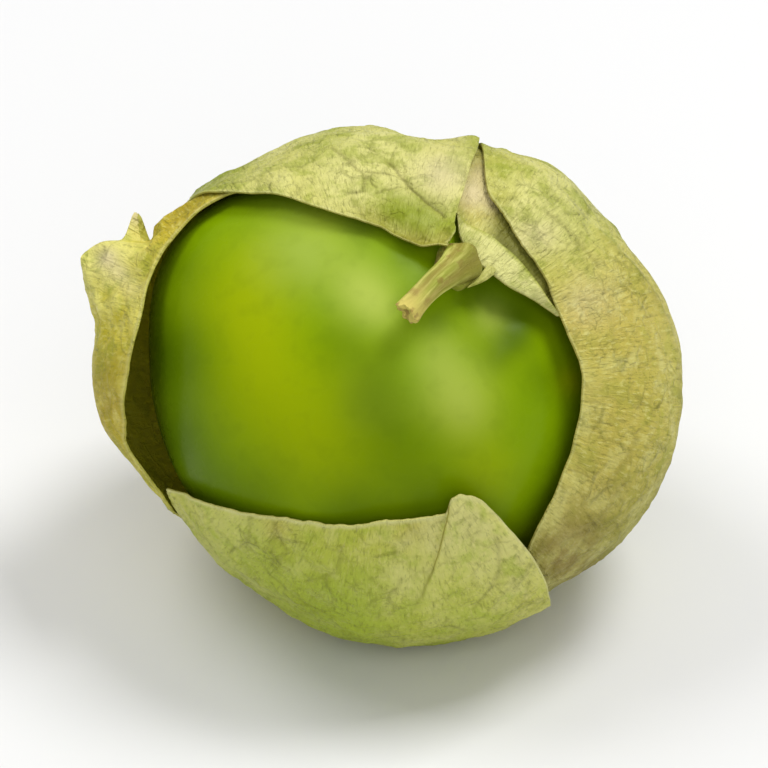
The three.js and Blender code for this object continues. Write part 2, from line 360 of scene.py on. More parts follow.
def rimCurve(values, t):
    # evenly spaced values, or (angle, value) pairs that are read at the angle that t comes to
    if isinstance(values[0], tuple):
        return alongPairs(values, lerp(values[0][0], values[-1][0], t))
    return through(values, t)


def patchGrid(shape):
    # longitude and polar angle over a patch that is bounded by four curves, with ragged rims, the
    # distance in mm to the nearest free rim, and the directions and places on the husk
    u, v = np.meshgrid(spacing(shape["rows"], shape["rowCrowds"]),
                       spacing(shape["columns"], shape["columnCrowds"]), indexing="ij")
    tear = {}
    for side, t in (("top", v), ("bottom", v), ("first", u), ("second", u)):
        p = np.stack([t * shape["tears"], 0 * t, 0 * t], -1)
        rag = 0.6 * noise(p, shape["seed"]) + 0.4 * noise(p * 3.1, shape["seed"] + 1)
        tear[side] = rimCurve(shape[side], t) + rag * shape["ragged"]
    # each side rim sways the columns beside it, as far in as the shape says
    near, far = shape.get("sways", (1, 0))
    lon = lerp(tear["first"][:1], tear["second"][:1], v)
    lon = lon + (tear["first"] - tear["first"][:1]) * (1 - np.clip(v / near, 0, 1))
    lon = lon + (tear["second"] - tear["second"][:1]) * np.clip((v - far) / (1 - far), 0, 1)
    pol = lerp(tear["top"], tear["bottom"], u)
    perDegree = np.radians(1) * fruit["huskRadius"]
    aside = perDegree * np.sin(np.radians(pol))
    away = {"top": (pol - tear["top"]) * perDegree, "first": (lon - tear["first"]) * aside,
            "second": (tear["second"] - lon) * aside}
    rim, dirs = np.minimum.reduce([away[side] for side in shape["free"]]), direction(lon, pol)
    return lon, pol, rim, dirs, dirs * fruit["huskRadius"]


def foldedOver(lon, pol, line, reach, rise, width, release):
    # a pleat along a line of longitudes over polar angles: past it the sheet runs back by the
    # reach and up by the rise, and gives both back over the release
    perMm = np.degrees(1) / (fruit["huskRadius"] * np.sin(np.radians(pol)))
    past = (lon - np.interp(pol, *line)) / perMm
    turned = smoothstep(past, -width, width) * fade(past, width, release)
    return lon - reach * turned * perMm, rise * turned, past


class Value:
    # a socket in a material's node tree, so that maths on it is written as an expression
    def __init__(self, tree, socket):
        self.tree, self.socket = tree, socket

    def maths(self, operation, *numbers):
        node = self.tree.nodes.new("ShaderNodeMath")
        node.operation = operation
        for place, number in enumerate(numbers):
            plug(self.tree, node.inputs[place], number)
        return Value(self.tree, node.outputs[0])

    def __add__(self, other): return self.maths("ADD", self, other)
    def __sub__(self, other): return self.maths("SUBTRACT", self, other)
    def __rsub__(self, other): return self.maths("SUBTRACT", other, self)
    def __mul__(self, other): return self.maths("MULTIPLY", self, other)


def plug(tree, socket, value):
    # a link for a value that varies, and a plain setting for one that doesn't
    if isinstance(value, Value):
        tree.links.new(value.socket, socket)
    elif isinstance(value, tuple) and len(value) == 3 and socket.type == "RGBA":
        socket.default_value = (*value, 1)
    else:
        socket.default_value = value


class Finish:
    # a material being made
    def __init__(self, name):
        self.material = bpy.data.materials.new(name)
        self.material.use_nodes = True
        self.tree = self.material.node_tree
        self.tree.nodes.clear()
        self.place = self.add("ShaderNodeTexCoord", {}, {}, "Object")

    def add(self, kind, settings, sockets, output=0):
        # any node: its settings are set first, and then its sockets
        node = self.tree.nodes.new(kind)
        for key, value in settings.items():
            setattr(node, key, value)
        for key, value in sockets.items():
            plug(self.tree, node.inputs[key], value)
        return Value(self.tree, node.outputs[output]) if node.outputs else node

    def attribute(self, name):
        # the number that a mesh holds under a name
        return self.add("ShaderNodeAttribute", {"attribute_name": name}, {}, "Fac")

    def grain(self, scale, detail=2.0, rough=0.5, place=None, output=0):
        # cloudy noise from 0 to 1, whose forms are about a metre over the scale
        return self.add("ShaderNodeTexNoise", {}, {"Vector": place or self.place, "Scale": scale,
                        "Detail": detail, "Roughness": rough}, output)

    def creased(self, value):
        # one minus the absolute value of 2x - 1: sharp crests along the middle of a noise
        doubled = value * 2 - 1
        return 1 - doubled.maths("ABSOLUTE", doubled)

    def net(self, scale, place):
        # distance to the nearest wall between cells
        return self.add("ShaderNodeTexVoronoi", {"feature": "DISTANCE_TO_EDGE"},
                        {"Vector": place, "Scale": scale})

    def ramp(self, value, low, high, first=0.0, last=1.0):
        # smoothstep from low to high, sent to first and last
        return self.add("ShaderNodeMapRange", {"interpolation_type": "SMOOTHSTEP"}, {
            "Value": value, "From Min": low, "From Max": high, "To Min": first, "To Max": last})

    def mix(self, factor, a, b):
        # colour a turned to colour b by the factor
        return self.add("ShaderNodeMix", {"data_type": "RGBA"}, {0: factor, 6: a, 7: b}, 2)

    def warped(self, scale, amount):
        # the place, pushed about by noise
        colour = self.grain(scale, output=1)
        push = self.vector("SCALE", {0: self.vector("SUBTRACT", {0: colour, 1: (0.5, 0.5, 0.5)}),
                                     "Scale": amount})
        return self.vector("ADD", {0: self.place, 1: push})

    def vector(self, operation, sockets):
        # vector maths
        return self.add("ShaderNodeVectorMath", {"operation": operation}, sockets)

    def relief(self, height, distance, strength=1.0):
        # a height from 0 to 1 times the distance in metres, as a tilt of the surface
        return self.add("ShaderNodeBump", {},
                        {"Strength": strength, "Distance": distance, "Height": height})

    def skin(self, colour, roughness, more):
        # the main shader, with more of its sockets
        return self.add("ShaderNodeBsdfPrincipled", {},
                        {"Base Color": colour, "Roughness": roughness, **more})

    def done(self, shader):
        # the material, once its shader is plugged into its output
        self.add("ShaderNodeOutputMaterial", {}, {"Surface": shader})
        return self.material


huskLooks = {
    "straw": (0.60, 0.58, 0.10),
    "cream": (0.84, 0.81, 0.28),
    "leaf": (0.33, 0.40, 0.018),
    "tan": (0.66, 0.55, 0.10),
    "vein": (0.20, 0.21, 0.02),
    # crease: dark lines of veins and ribs, and painted shade in the dart, along the lower flap's fold and in
    # the strip's valley
    "crease": (0.12, 0.10, 0.01),
    "rim": (0.80, 0.78, 0.32),
    "brown": (0.26, 0.15, 0.035),
    "pink": (0.80, 0.68, 0.42),
    "inside": (0.40, 0.34, 0.04),
    "glow": (0.70, 0.70, 0.05),
    "veins": 1.0,                 # how dark the net of veins is
    "thin": 0.25,                 # share of the light that comes through the paper
    "roughness": (0.42, 0.62),
    "specular": 0.3,
    "relief": 0.0004,             # of the paper's grain, in metres
}


def huskFinish(name, looks):
    # straw paper, painted by the piece's attributes, with nets of broken veins, wrinkles that run
    # out from the opening, and light and dark flecks
    f = Finish(name)
    wide, fine = f.warped(140, 0.004), f.warped(500, 0.0014)
    cloud = f.grain(85, 3)
    mottle = f.grain(300, 4, 0.6)
    patchy, broken = f.grain(210, 2), f.grain(480, 2)
    main = f.ramp(f.net(190, wide), 0.0, 0.075, 1, 0) * f.ramp(patchy, 0.42, 0.56)
    middle = f.ramp(f.net(440, fine), 0.0, 0.12, 1, 0) * f.ramp(broken, 0.46, 0.58)
    small = f.ramp(f.net(1200, fine), 0.0, 0.15, 1, 0) * f.ramp(patchy, 0.35, 0.6)
    flat = f.add("ShaderNodeUVMap", {"uv_map": "gather"}, {})
    long = f.vector("MULTIPLY", {0: flat, 1: (26.0, 6.0, 1.0)})
    wrinkle = f.creased(f.grain(1.0, 3, 0.55, long))
    short = f.vector("MULTIPLY", {0: flat, 1: (70.0, 24.0, 1.0)})
    fleck = f.grain(1.0, 3, 0.6, short)
    colour = f.mix(f.ramp(cloud, 0.4, 0.66, 0.0, 0.55), looks["straw"], looks["cream"])
    for key in ("cream", "leaf", "tan"):
        colour = f.mix(f.attribute(key), colour, looks[key])
    # the clouds and flecks of one colour are fainter in the area that is painted with the other
    green = f.ramp(mottle, 0.48, 0.64, 0.0, 0.52) * (1 - f.attribute("tan") * 0.6)
    colour = f.mix(green, colour, looks["leaf"])
    pale = f.ramp(mottle, 0.48, 0.34, 0.0, 0.38) * (1 - f.attribute("leaf") * 0.6)
    colour = f.mix(pale, colour, looks["cream"])
    colour = f.mix((main * 0.24 + middle * 0.18 + small * 0.14) * looks["veins"], colour, looks["vein"])
    # the light flecks are painted glints on the paper's wrinkles
    pale = f.ramp(fleck, 0.54, 0.66, 0.0, 0.5) * (1 - f.attribute("leaf") * 0.85)
    colour = f.mix(pale, colour, looks["cream"])
    colour = f.mix(f.ramp(fleck, 0.45, 0.34, 0.0, 0.36), colour, looks["vein"])
    colour = f.mix(f.attribute("pink"), colour, looks["pink"])
    colour = f.mix(f.attribute("brown") * f.ramp(mottle, 0.35, 0.6, 0.35, 1.0), colour, looks["brown"])
    # the crease paint holds dark vein lines and painted shade in folds and valleys
    colour = f.mix(f.attribute("crease"), colour, looks["crease"])
    colour = f.mix(f.attribute("rim"), colour, looks["rim"])
    colour = f.mix(f.attribute("inside") * 0.8, colour, looks["inside"])
    height = main * 0.3 + middle * 0.22 + small * 0.1 + wrinkle * 0.8 + mottle * 0.9 + fleck * 0.35
    normal = f.relief(height, looks["relief"])
    rough = f.ramp(mottle, 0.3, 0.7, *looks["roughness"])
    skin = f.skin(colour, rough, {"Normal": normal, "Specular IOR Level": looks["specular"]})
    shone = f.mix(0.5, colour, looks["glow"])
    glow = f.add("ShaderNodeBsdfTranslucent", {}, {"Color": shone, "Normal": normal})
    return f.done(f.add("ShaderNodeMixShader", {}, {0: looks["thin"], 1: skin, 2: glow}))


# the berry

berryShape = {
    "rows": 150, "columns": 220,
    "forms": [(84, 16, -2.2, 11), (52, 26, -0.55, 7), (35, 33, 0.35, 14), (276, 79, 2.1, 21)],
    "lobes": (5, 30, 0.12),       # how many faint swellings, the first one's turn, and their height
    "uneven": (0.08, 3.3, 5),     # height, how fine and seed
    # yellow: the skin's yellow patches; its last two spots are painted light that lifts shade at the right
    # edge and under the husk
    "yellow": [(-18.5, 8, 4, 0.35), (-13.4, 12, 4, 0.6), (-13.4, 6, 4.5, 0.8), (-13, 0, 5, 0.6),
               (-8, -4, 6, 0.5), (-6, -10, 6, 0.35), (8.5, -3.5, 3.5, 0.5), (11, -10, 4, 0.55),
               (20.3, -0.5, 1.7, 0.9), (-6.2, 17.3, 2, 0.35)],
    # deep: mostly painted shade at the left edge, the bottom, under the husk's top edge, the right edge and
    # by the stem
    "deep": [(-23.5, 2, 5, 0.85), (-23, -7, 5, 0.85), (-18, -13, 5, 0.5), (-22, 12, 3, 0.4),
             # of the next line, the first three spots are the skin's own darker green, not shade
             (-1, -2, 4, 0.45), (2, -7.5, 5, 0.4), (-4, 3.6, 3, 0.3), (10.6, 9.2, 3, 0.75),
             (14.8, 6.4, 3, 0.75), (6, 5.4, 1.6, 0.5), (12, 1.7, 2, 0.45), (14, 3.6, 2, 0.45),
             (17.4, -0.3, 2.2, 0.4), (-12, -13, 4, 0.35), (-3.4, -15, 4, 0.6), (5, -14, 4, 0.5),
             (-2, 15.7, 2, 0.5), (2.4, 12.9, 1.8, 0.5)],
    # pale: painted highlights, the soft sheen of the lamps on the skin put into its colour
    "pale": [(-9.5, 15.7, 4, 0.2), (-6.2, 13.4, 4.5, 0.35), (-2, 9.2, 3.2, 0.65), (0, 7, 2.5, 0.45),
             (6, 2.4, 2.8, 0.4), (7.8, -1.1, 3.5, 0.5), (9, -4, 3, 0.3), (11.5, 6.2, 1.8, 0.5)],
}
berryLooks = {
    "green": (0.185, 0.308, 0.001),
    "yellow": (0.31, 0.395, 0.001),
    # deep: the colour of the painted shade and of the skin's darker green
    "deep": (0.07, 0.130, 0.001),
    # pale: the colour of the painted highlights, which stand in for most of the skin's sheen
    "pale": (0.42, 0.51, 0.085),
    "roughness": (0.24, 0.32),
    "specular": 0.045,
    "relief": 0.00012,            # of the skin's grain, in metres
}


def berryFinish(looks):
    # green skin under gloss, with yellow areas, deep areas mostly of painted shade, pale painted highlights
    # and faint streaks
    f = Finish("glossy_skin")
    cloud = f.grain(55, 3)
    streak = f.grain(420, 3)
    colour = f.mix(f.ramp(cloud, 0.35, 0.7, 0, 0.3), looks["green"], looks["yellow"])
    for key in ("yellow", "deep", "pale"):
        colour = f.mix(f.attribute(key), colour, looks[key])
    colour = f.mix(f.ramp(streak, 0.45, 0.75, 0, 0.12), colour, looks["deep"])
    normal = f.relief(f.grain(260, 3) + f.grain(1500, 2) * 0.12, looks["relief"], 0.5)
    rough = f.ramp(streak, 0.3, 0.7, *looks["roughness"])
    return f.done(f.skin(colour, rough, {"Normal": normal, "Specular IOR Level": looks["specular"]}))


def makeBerry(shape):
    # a flattened ball with the forms' hollows and swellings, closed by one point at each pole
    rows, columns = shape["rows"], shape["columns"]
    lon, pol = np.meshgrid(np.arange(columns) * 360 / columns, np.arange(1, rows) * 180 / rows)
    dirs = direction(lon, pol)
    count, first, high = shape["lobes"]
    lobes = high * np.cos(np.radians(count * lon + first)) * np.sin(np.radians(pol)) ** 2
    high, fine, seed = shape["uneven"]
    radius = roundRadius(dirs) + relief(dirs, shape["forms"]) + lobes + high * noise(dirs * fine, seed)
    poles = direction(np.zeros(2), np.array([0, 180]))
    ends = poles * (roundRadius(poles) + relief(poles, shape["forms"]))[..., None]
    points = toWorld(np.concatenate([(dirs * radius[..., None]).reshape(-1, 3), ends]))
    paints = {key: painted(points, shape[key]) for key in ("yellow", "deep", "pale")}
    makePiece("berry_skin", points, tubeFaces(rows - 1, columns), paints, berryFinish(berryLooks),
              ["berry"])


makeBerry(berryShape)


# the stem stub

stemShape = {
    "path": [(0.2, 0.9, 23.6), (0.9, 1.2, 25.2), (3.3, 0.7, 26.4), (6.5, -0.3, 26.3), (10.0, -1.1, 24.9)],
    "radii": [2.5, 2.4, 2.05, 1.65, 1.42, 1.3, 1.5],
    "rows": 90, "columns": 72,
    "ridges": (5, 1.2, 0.05),     # how many, their twist in radians and their height over the radius
    "bark": (0.06, 1.4, 7, 31),   # height over the radius, how fine round and along, and seed
    "tear": (0.35, 2.6, 77),      # height, how fine and seed of the end's jagged rim
    "torn": (0.9, 1),             # where along the path the jagged rim begins
    "sunken": [(0.25, -0.1), (0.55, 0.25), (0.85, 0.45), (1, 0.4)],   # share of the way in, and depth
    "tipPaint": (0.72, 1),        # along the path
    "shadePaint": ((-0.1, 0.7), (0.35, 0.8)),     # to the right, and along the path
    "barkMap": (3.2, 4),          # round and along
}
stemLooks = {
    "green": (0.29, 0.32, 0.02),
    "cream": (0.62, 0.62, 0.14),
    "brown": (0.24, 0.13, 0.02),
    "tip": (0.62, 0.52, 0.11),
    "shade": (0.20, 0.18, 0.008),
    "roughness": 0.7,
}


def stemFinish(looks):
    # pale green wood with long fibres, cream on its ridges, brown spots, painted shade down its right side
    # and a brown torn end
    f = Finish("stem_wood")
    bark = f.add("ShaderNodeCombineXYZ", {}, {key: f.attribute("bark" + key) for key in "XYZ"})
    fibre = f.grain(1.0, 4, 0.65, bark)
    spots = f.grain(800, 3)
    colour = f.mix(f.ramp(fibre, 0.4, 0.7), looks["green"], looks["cream"])
    colour = f.mix(f.attribute("groove") * 0.5, colour, looks["brown"])
    colour = f.mix(f.ramp(spots, 0.58, 0.68, 0, 0.55), colour, looks["brown"])
    colour = f.mix(f.attribute("shade") * 0.75, colour, looks["shade"])
    colour = f.mix(f.attribute("tip"), colour, looks["tip"])
    colour = f.mix(f.attribute("tip") * f.ramp(spots, 0.46, 0.58, 0, 0.7), colour, looks["brown"])
    normal = f.relief(fibre + spots * 0.4, 0.0003, 0.8)
    return f.done(f.skin(colour, looks["roughness"], {"Normal": normal}))


def makeStem(shape):
    # a ridged round section carried along a bent path, closed by a sunken torn end
    rows, columns = shape["rows"], shape["columns"]
    s = np.linspace(0, 1, rows + 1)
    path = np.stack([through(axis, s) for axis in zip(*shape["path"])], -1)
    tangent = unit(np.gradient(path, axis=0))
    side = unit(np.cross(tangent, [0, 1, 0]))
    other = np.cross(tangent, side)
    turn = np.linspace(0, 2 * np.pi, columns, endpoint=False)
    ring = np.stack([np.cos(turn), np.sin(turn), 0 * turn], -1)
    ridges, twist, ridgeHeight = shape["ridges"]
    ridge = np.cos(ridges * turn + twist * s[:, None])
    high, fineRound, fineAlong, seed = shape["bark"]
    bark = noise(ring * fineRound + np.stack([0 * s, 0 * s, s * fineAlong], -1)[:, None], seed)
    radius = through(shape["radii"], s)[:, None] * (1 + ridgeHeight * ridge + high * bark)
    rings = path[:, None] + radius[..., None] * (np.cos(turn)[:, None] * side[:, None]
                                                 + np.sin(turn)[:, None] * other[:, None])
    high, fine, seed = shape["tear"]
    jag = high * noise(ring * fine, seed)
    rings = rings + tangent[:, None] * (jag * smoothstep(s, *shape["torn"])[:, None])[..., None]
    *caps, tip = [rings[-1] + (path[-1] - tangent[-1] * deep - rings[-1]) * share
                  for share, deep in shape["sunken"]]
    points = toWorld(np.concatenate([rings.reshape(-1, 3), *caps, path[:1], tip[:1]]))
    added = np.ones(len(points) - rings[..., 0].size)      # for the points that close the ends
    along = np.concatenate([np.repeat(s, columns), added])
    aside = (rings - path[:, None]) @ toRight / radius
    sideways, lengthways = shape["shadePaint"]
    shade = smoothstep(aside, *sideways) * fade(s, *lengthways)[:, None]
    levels = rows + 1 + len(caps)
    turns = np.concatenate([np.tile(turn, levels), [0, 0]])
    wide, long = shape["barkMap"]
    paints = {"groove": np.concatenate([(1 - ridge).ravel() / 2, added]),
              "shade": np.concatenate([shade.ravel(), 0 * added]),
              "tip": smoothstep(along, *shape["tipPaint"]),
              "barkX": wide * np.cos(turns), "barkY": wide * np.sin(turns), "barkZ": long * along}
    makePiece("stem_stub", points, tubeFaces(levels, columns, True), paints, stemFinish(stemLooks),
              ["stem"])


makeStem(stemShape)


# the wrap: the back of the husk, from the right edge of the opening to its upper edge

wrapShape = {
    "rows": 172, "columns": 274, "seed": 11, "tears": 34, "ragged": 0.3, "sways": (0.37, 0.45),
    "seam": 210,
    "rowCrowds": [(0.1, 0.22, 1.2), (0, 0.02, 2)],
    "columnCrowds": [(0.4, 0.035, 4.5), (0, 0.03, 2), (1, 0.03, 2)],
    # out along the right edge, up one side of the slot over the pleat, down the other, and round
    # the stem
    "top": [(118, 21.7), (123, 20.3), (129, 18.9), (140, 17.5), (147, 17.2), (155, 17.3), (163, 18),
            (172, 18.6), (177.5, 19.6), (181.7, 21.2), (185.6, 24.6), (188.3, 28.8), (189.9, 34),
            (190.6, 40), (191.1, 50), (191.7, 41), (192.5, 35), (193.5, 31), (195, 26.6), (196.2, 21.4),
            (197.7, 17.6), (200.4, 13.6), (203, 10.3), (206, 7.0), (211, 4.6), (220, 3.2), (260, 2.4),
            (300, 2.2)],
    "bottom": [166, 170, 174, 176, 177, 177, 177, 177, 177, 176, 175],
    "first": [(21.7, 118), (24, 111.6), (26.5, 104), (29.3, 98.6), (33, 93.6), (37.3, 89.7), (43, 85.7),
              (46.5, 82.8), (51.4, 78.7), (55.2, 75.4), (59.5, 71.8), (63.5, 67.5), (68, 63.8), (72.3, 60.8),
              (77.7, 58), (87, 56), (98, 55), (109, 58), (123, 66), (137, 76), (152, 88), (166, 104),
              (175, 112)],
    "second": [(2.2, 300), (5, 296), (8, 291), (11, 286), (15, 281), (19.5, 276), (27, 275.5), (35, 273.5),
               (47, 270), (57.5, 269), (69, 266.8), (75, 265.6), (79, 264), (82, 260), (88, 256), (100, 251),
               (130, 251), (150, 254), (175, 252)],
    "free": ("top", "first", "second"),
    "forms": [(205, 56, -2.0, 11), (222, 60, 1.2, 12), (173, 58, 0.6, 10), (184, 50, -1.4, 9),
              (207, 45, -0.9, 8), (264, 79, -0.8, 8)],
    "overLeft": (222, 244, 0.65),            # longitudes and height
    "overStrip": (4, 13, 0.85),   # mm off the slot's line, and height
    "overStripEnds": (48, 66),    # polar angles
    "slot": [(206, 7), (196, 24), (191, 60), (189, 32), (182, 21), (168, 18.3), (147, 17.2), (128, 19),
             (112, 24), (99, 30)],
    "peak": (193.5, 43, 0.5, 3),
    "peakFrom": (190.6, 191.6),
    "collar": (4, 8.5, 1.2),
    "byStem": ((14, 30), (225, 245)),        # where the rim dips down beside the stem
    "dip": (0.3, 3.2, 0.8),       # mm from the rim, and depth
    "behind": (72, 100), "farBehind": (92, 112),
    "ribs": (0.06, 0.34, 0.2),    # all over, and what comes on behind and far behind
    "folds": (8, 21), "foldHeight": 0.2,
    "fineFolds": (2.6, 27, 0.07),
    "backFolds": (5, 22, 0.4),
    "gathers": (51, 0.13),
    "wave": (0.1, 8),
    # what is painted: from, to and amount
    "rimPaint": (0.05, 0.35, 0.35),
    # painted highlight: cream on the crumples' crests
    "crestHighlight": (0.3, 0.7, 0.4),
    "stemPaint": (0.8, 2.6, 0.35),
    "ribPaint": 0.6,
    # height and its width, paint and its width, and the lines
    # the dart's dark paint is painted shade in its pressed line; the veins' paint is their own darker colour
    "dart": (-0.45, 0.6, 0.64, 0.22, [[(232, 32), (234, 21), (230, 15), (219, 10)]]),
    "veins": (-0.12, 0.35, 0.5, 0.17, [
        [(242.8, 45), (246.8, 35.6), (250.9, 25.6)], [(247, 31), (238, 27)],
        [(249, 30), (258, 27), (262, 30)], [(254, 24.3), (240, 22)]]),
    "shadowVeins": (-0.14, 0.5, 0.3, 0.3, [
        [(74, 70), (84, 66), (90, 62)], [(70, 83), (77, 74), (83, 70)], [(66, 78), (74, 76)],
        [(66, 90), (74, 84), (84, 80)], [(152, 28), (138, 32), (126, 37)]]),
    "edgeRib": [(140, 42), (126, 51.3), (120.8, 56.5), (117.8, 59.3), (112.7, 63.6), (107, 67.2),
                (103.2, 72.2), (98.9, 77.4), (90, 88), (78, 100)],
    "edgeForms": [(0.24, 0, 0.8), (-0.15, 1.6, 0.8)],        # height, how far off the rib, and width
    "edgePaint": (0.12, 0.24, 0.35, 0.28),   # least and broken amount, how far off, and width
    "broken": (2.5, 62),
    # cream: the paper's pale patches, and painted highlight on the lit facets by the dart and the pleat and
    # on the crescent's top
    "cream": [(-9, 22, 5, 0.45), (-3, 20, 3.5, 0.7), (-2, 23.8, 3, 0.8), (0.5, 24.6, 2.2, 0.6),
              (0.5, 21.5, 2.5, 0.6), (-5, 22.5, 3, 0.4), (4.5, 22.3, 3.5, 0.95), (1.5, 24.3, 2, 0.4),
              (7.6, 20, 2.2, 0.95), (8.8, 23.2, 2, 0.7), (18, 20, 4, 0.5), (17, 16, 3, 0.6),
              (20.5, 16, 4, 0.7), (-15, 19, 4, 0.3), (27, 6, 4, 0.35), (32, -1, 2, 0.4)],
    # leaf: the paper's green; the three spots by the stem are painted shade where the panel turns in
    "leaf": [(-22, 21.5, 4.5, 1.0), (-17, 25, 4, 0.6), (-6, 26, 3, 0.4), (3, 26, 2, 0.4), (10.5, 25, 2, 0.6),
             (13, 22, 2, 0.3), (21, 17, 4, 0.35), (1.5, 17.2, 2.3, 0.9), (5, 16.6, 2.4, 0.95),
             (8.2, 15.8, 1.6, 0.7), (24, -18, 6, 0.4)],
    "tan": [(27, 7, 7, 0.8), (26, -5, 8, 0.8), (20, 6, 4, 0.6), (22, -14, 6, 0.4)],
    # pink: the pleat's own pinkish brown, and a pink painted highlight on the facet between the dart and the
    # pleat
    "pink": [(6.5, 21.6, 2.6, 0.5), (14, 14, 1.6, 0.3), (22, 8, 3, 0.3), (17, 15, 2, 0.3)],
    # brown: painted shade, darker towards the crescent's foot
    "brown": [(20, -19, 5, 0.72), (25, -12, 5, 0.15)],
}


def ribHeight(lon, pol, p):
    # a bump on each rib of the husk, which wanders a little
    degrees, apart, seed = fruit["ribWander"]
    half = fruit["ribStep"] / 2
    off = (lon + degrees * noise(p / apart, seed) - fruit["firstRib"] + half) % fruit["ribStep"] - half
    return bump(off * np.radians(1) * fruit["huskRadius"] * np.sin(np.radians(pol)), fruit["ribWidth"])


def gathered(dirs, seed, height):
    # wrinkles that run out from the opening's line: crumples that are long away from it
    fromOpening = angleBetween(dirs, toOpening)
    turn = np.degrees(np.arctan2(dirs @ toTop, dirs @ toRight))
    wide, long = fruit["gathers"]
    folds = crumple(np.stack([turn / wide, fromOpening / long, 0 * turn], -1), 1.0, seed, height)
    return folds * fade(fromOpening, *fruit["gathersEnd"]) * smoothstep(fromOpening, *fruit["gathersBegin"])


def rimmed(detail, rim, p, wave, seed):
    # the detail fades at a free rim, which waves by itself
    return detail * smoothstep(rim, -0.5, 1.2) + wave * noise(p / 3, seed) * fade(rim, 0, 1.5)


def makeWrap(shape):
    # the patch over the bag, with a slot over the pleat, a dart, veins, gathers and crumples on it
    lon, pol, rim, dirs, p = patchGrid(shape)
    fromOpening = angleBetween(dirs, toOpening)
    behind = smoothstep(fromOpening, *shape["behind"])
    farBehind = smoothstep(fromOpening, *shape["farBehind"])
    pressed, dark = marked(dirs, shape["dart"], shape["veins"], shape["shadowVeins"])
    edge = lineDistance(dirs, shape["edgeRib"])
    ribs = ribHeight(lon, pol, p)
    folds = crumple(p, *shape["folds"])
    allOver, back, farBack = shape["ribs"]
    detail = shape["foldHeight"] * folds + crumple(p, *shape["fineFolds"])
    detail = detail + gathered(dirs, *shape["gathers"])
    detail = detail + ribs * (allOver + back * behind + farBack * farBehind) + pressed
    detail = detail + farBehind * crumple(p, *shape["backFolds"])
    detail = detail + sum(high * bump(edge - off, width) for high, off, width in shape["edgeForms"])
    pols, lons = shape["byStem"]
    byStem = fade(pol, *pols) * smoothstep(lon, *lons)
    detail = rimmed(detail - byStem * fade(rim, *shape["dip"]), rim, p, *shape["wave"])
    forms = relief(dirs, shape["forms"]) + fade(pol, *shape["collar"])
    forms = forms + relief(dirs, [shape["peak"]]) * smoothstep(lon, *shape["peakFrom"])
    overStrip = fade(lineDistance(dirs, shape["slot"]), *shape["overStrip"])
    overStrip = overStrip * fade(pol, *shape["overStripEnds"])
    lift = np.maximum(overStrip, smoothstep(lon, *shape["overLeft"])) + forms + detail
    sides = sheetSides(lon, pol, lift, fruit["layer"])
    apart, seed = shape["broken"]
    broken = smoothstep(noise(p / apart, seed), -0.5, 0.5)
    least, more, off, width = shape["edgePaint"]
    closedSheet("husk_wrap_paper", shape, sides, huskFinish("husk_paper", huskLooks), ["husk_wrap"],
                crease=dark + (least + more * broken) * bump(edge - off, width),
                rim=fade(rim, *shape["rimPaint"]), cream=smoothstep(folds, *shape["crestHighlight"]),
                brown=byStem * fade(rim, *shape["stemPaint"]), leaf=shape["ribPaint"] * ribs * behind)


makeWrap(wrapShape)


# the left lobe: tucked under the wrap, with a free edge that leans out from the berry

